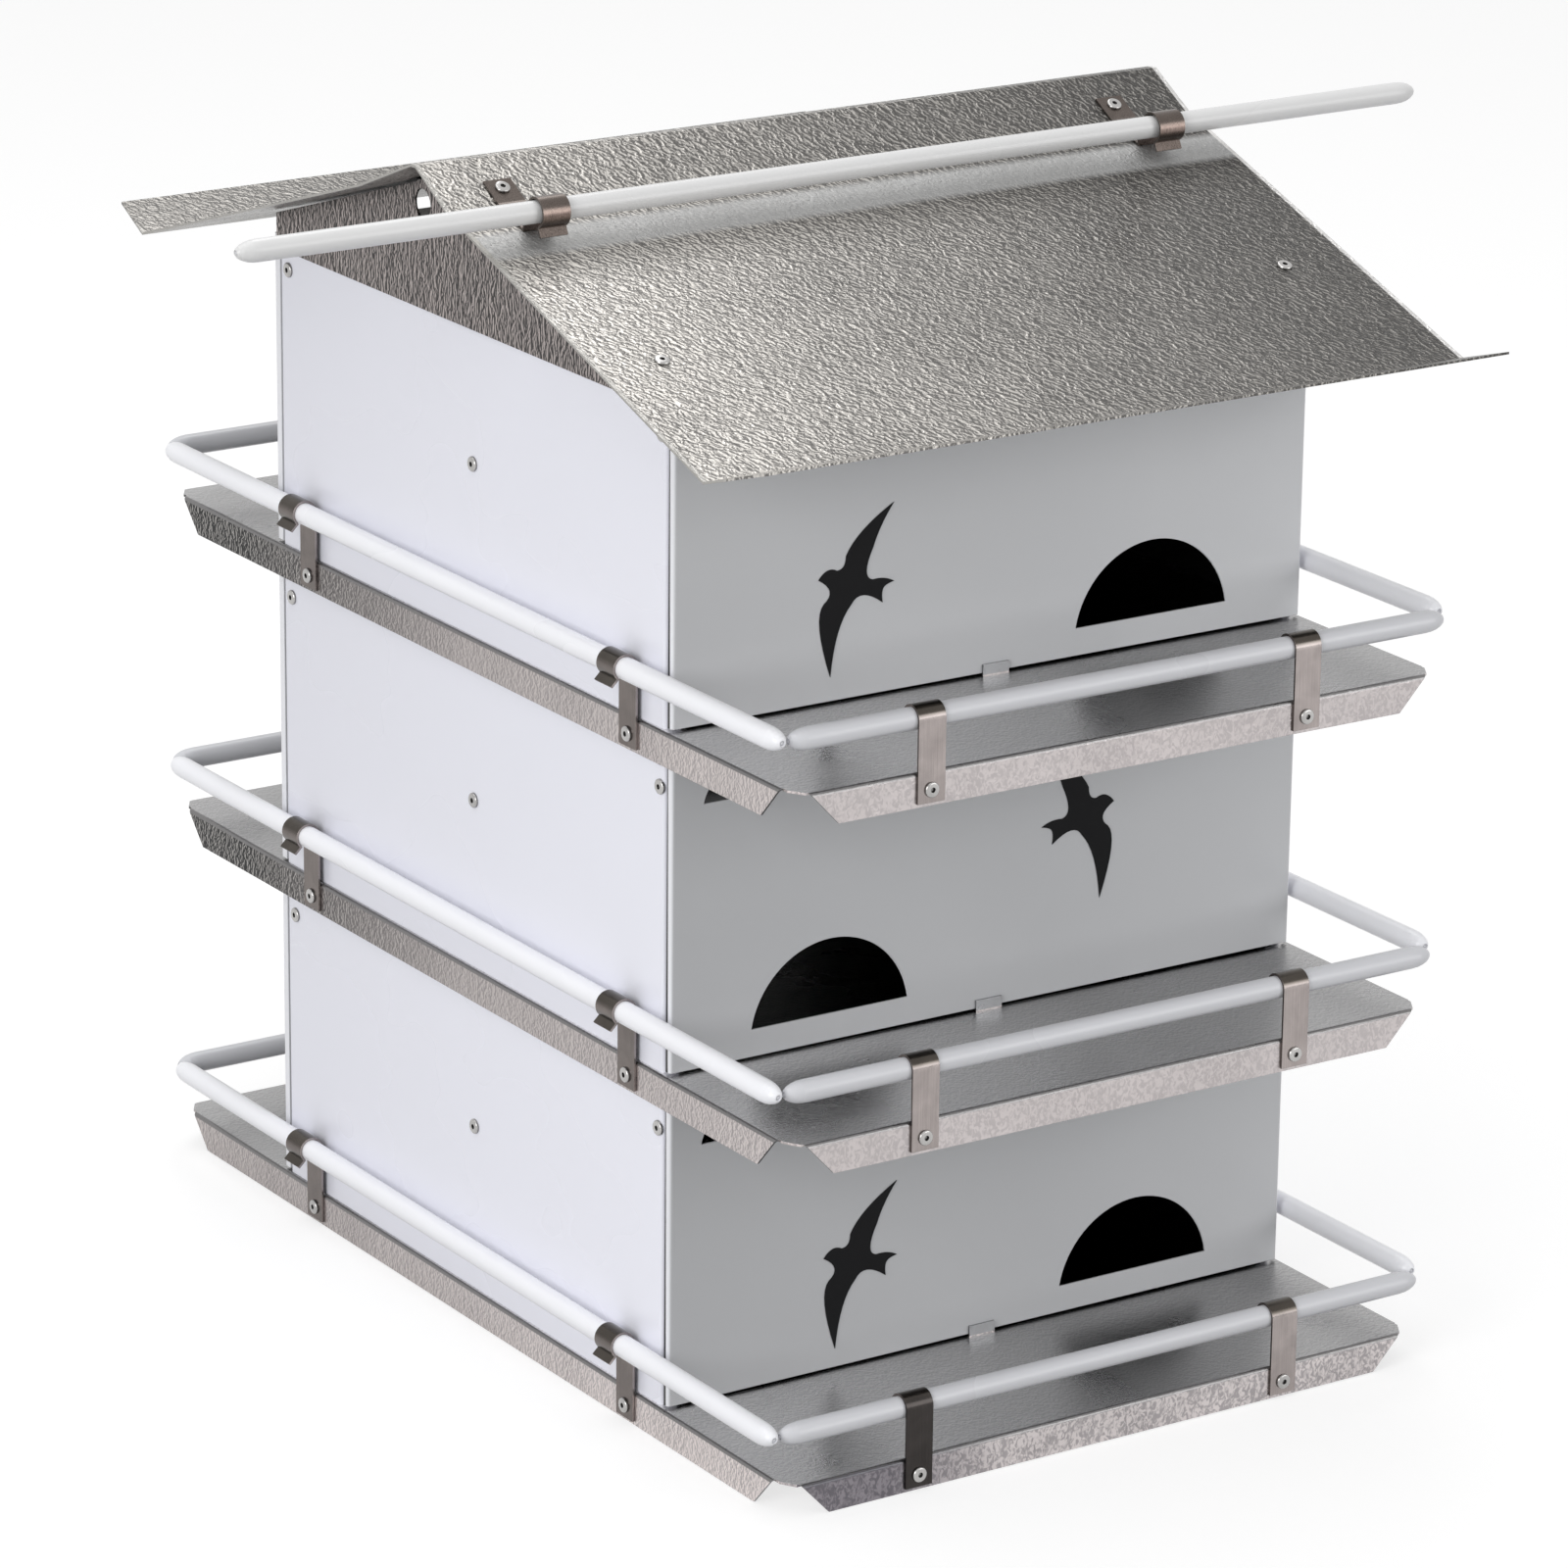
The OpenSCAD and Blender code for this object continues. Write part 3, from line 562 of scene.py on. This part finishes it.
def setCopies(pattern, name, spots):
    # copies the pattern to each (place, facing) and joins the copies into one piece
    copies = []
    for place, towards in spots:
        selectOnly(pattern)
        bpy.ops.object.duplicate(linked=False)
        copy = bpy.context.object
        copy.rotation_euler = Vector(towards).to_track_quat("Z", "Y").to_euler()
        copy.location = place
        bpy.ops.object.transform_apply(location=True, rotation=True, scale=True)
        copies.append(copy)
    clearSelection()
    for copy in copies:
        copy.select_set(True)
    bpy.context.view_layer.objects.active = copies[0]
    bpy.ops.object.join()
    piece = bpy.context.object
    piece.name = name
    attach(piece, "root")
    return piece


# wall spots are (y, up) on the left-hand wall, front clips lie along x and side clips along y
fixing = {"wallSpots": ((-0.1545, 0.1228), (0.1500, 0.1247), (-0.0062, 0.075)),
          "frontClips": (-0.096, 0.090), "sideClips": (-0.134, 0.130), "clipDown": 0.0075, "clipOut": 0.0011,
          "perchX": 0.154, "perchDown": 0.0195, "roofX": 0.1545, "roofDown": 0.1445}

for n in storeys:
    spots = []
    for side, out in (("left", -1), ("right", 1)):  # the right-hand wall is the left-hand one turned half round
        low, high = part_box(f"end_wall_{side}_{n}")
        x = low.x if out < 0 else high.x
        spots += [((x, -out * y, low.z + up), (out, 0, 0)) for y, up in fixing["wallSpots"]]
    setCopies(rivetHead, f"wall_rivets_{n}", spots)

for n in storeys:
    z = trayTop[n] - fixing["clipDown"]
    front, back = [corner.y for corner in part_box(f"rail_clips_{n}")]
    left, right = [corner.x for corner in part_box(f"tray_{n}")]
    spots = []
    for x in fixing["frontClips"]:
        spots += [((x, front, z), (0, -1, 0)), ((-x, back, z), (0, 1, 0))]
    for y in fixing["sideClips"]:
        spots += [((left - fixing["clipOut"], y, z), (-1, 0, 0)), ((right + fixing["clipOut"], -y, z), (1, 0, 0))]
    setCopies(rivetHead, f"clip_rivets_{n}", spots)

ridge = {"y": -0.004, "z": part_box("roof")[1].z, "crown": 0.0018, "brow": 0.027, "browDrop": 0.0144, "grade": 0.3398}


def onFrontSlope(x, down, lift):
    # a place on the roof's front, down from the ridge and lift above the sheet, and the way it faces
    if down < ridge["brow"]:
        grade = ridge["browDrop"] / (ridge["brow"] - ridge["crown"])
        fall = grade * (down - ridge["crown"])
    else:
        grade = ridge["grade"]
        fall = ridge["browDrop"] + grade * (down - ridge["brow"])
    away = Vector((0, -grade, 1)).normalized()
    return Vector((x, ridge["y"] - down, ridge["z"] - fall)) + away * lift, away


setCopies(rivetHead, "perch_rivets",
          [onFrontSlope(side * fixing["perchX"], fixing["perchDown"], fixing["clipOut"]) for side in (-1, 1)])
setCopies(rivetHead, "roof_rivets", [onFrontSlope(side * fixing["roofX"], fixing["roofDown"], 0) for side in (-1, 1)])
print("rivets set")


plug = {"radius": 0.00102, "back": 0.00105, "segments": 16, "rings": 8}

clearSelection()
bpy.ops.mesh.primitive_uv_sphere_add(segments=plug["segments"], ring_count=plug["rings"], radius=plug["radius"])
plugBall = bpy.context.object
plugBall.name = "plug_pattern"
bpy.ops.object.shade_smooth()
plugBall.data.materials.append(finishes["rail_paint"])


def tubeEnds(name, axis):
    # the middles of a tube's two noses
    low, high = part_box(name)
    ends = []
    for corner, out in ((low, -1), (high, 1)):
        place = (low + high) / 2
        place[axis] = corner[axis] - out * plug["back"]
        ends.append((place, [out if i == axis else 0 for i in range(3)]))
    return ends


for n in storeys:
    spots = []
    for side, axis in (("front", 0), ("back", 0), ("left", 1), ("right", 1)):
        spots += tubeEnds(f"rail_{side}_{n}", axis)
    setCopies(plugBall, f"rail_plugs_{n}", spots)
setCopies(plugBall, "perch_plugs", tubeEnds("perch_rod", 0))
print("plugs set")


studio = {"floorSize": 30, "floorDrop": 0.0005, "paper": (0.42, 0.42, 0.42), "paperRough": 0.9, "paperGlow": 0.64,
          "sky": 0.5, "skySeen": 1.0}
lamps = {
    "key softbox": {"place": (-2.9, -1.3, 1.4), "aim": (0, 0, 0.3), "size": (1.6, 1.6), "power": 45},
    "front fill": {"place": (2.0, -3.1, 1.2), "aim": (0, 0, 0.25), "size": (2.2, 1.8), "power": 32},
    "top softbox": {"place": (-0.6, 0.4, 3.2), "aim": (0, 0, 0.3), "size": (2.2, 2.2), "power": 24},
    "rear softbox": {"place": (0.62, 1.1, 2.1), "aim": (0, -0.1, 0.48), "size": (0.7, 1.0), "power": 7},
}


def seenPlainly(finish):
    # 1 for what is seen straight, in gloss or through glass, and 0 for what only gives light
    rays = node(finish, "ShaderNodeLightPath", "rays")
    seen = sums(finish, "MAXIMUM", rays.outputs["Is Camera Ray"], rays.outputs["Is Glossy Ray"], "camera or gloss")
    return sums(finish, "MAXIMUM", seen, rays.outputs["Is Transmission Ray"], "or through glass")


clearSelection()
bpy.ops.mesh.primitive_plane_add(size=studio["floorSize"], location=(0, 0, -studio["floorDrop"]))
floor = bpy.context.object
floor.name = "floor"
paper, paperShader = startFinish("floor paper", studio["paper"], 0.0, studio["paperRough"])
paperShader.inputs["Emission Color"].default_value = (1, 1, 1, 1)
join(paper, times(paper, seenPlainly(paper), studio["paperGlow"], "glow"), paperShader.inputs["Emission Strength"])
floor.data.materials.append(paper)

world = bpy.data.worlds.new("studio air")
bpy.context.scene.world = world
world.use_nodes = True
sky = world.node_tree.nodes["Background"]
sky.inputs["Color"].default_value = (1, 1, 1, 1)
skyStrength = spread(world, seenPlainly(world), "strength", 0.0, 1.0, studio["sky"], studio["skySeen"])
join(world, skyStrength, sky.inputs["Strength"])


def softLamp(name, place, aim, size, power):
    clearSelection()
    bpy.ops.object.light_add(type="AREA", location=place)
    lamp = bpy.context.object
    lamp.name = name
    lamp.data.shape = "RECTANGLE"
    lamp.data.size, lamp.data.size_y = size
    lamp.data.energy = power
    lamp.rotation_euler = (Vector(aim) - Vector(place)).to_track_quat("-Z", "Y").to_euler()


for name, lamp in lamps.items():
    softLamp(name, **lamp)
bpy.context.scene.view_settings.view_transform = "Standard"
print("studio lit")

clearSelection()
for pattern in (rivetHead, plugBall):
    bpy.data.objects.remove(pattern, do_unlink=True)
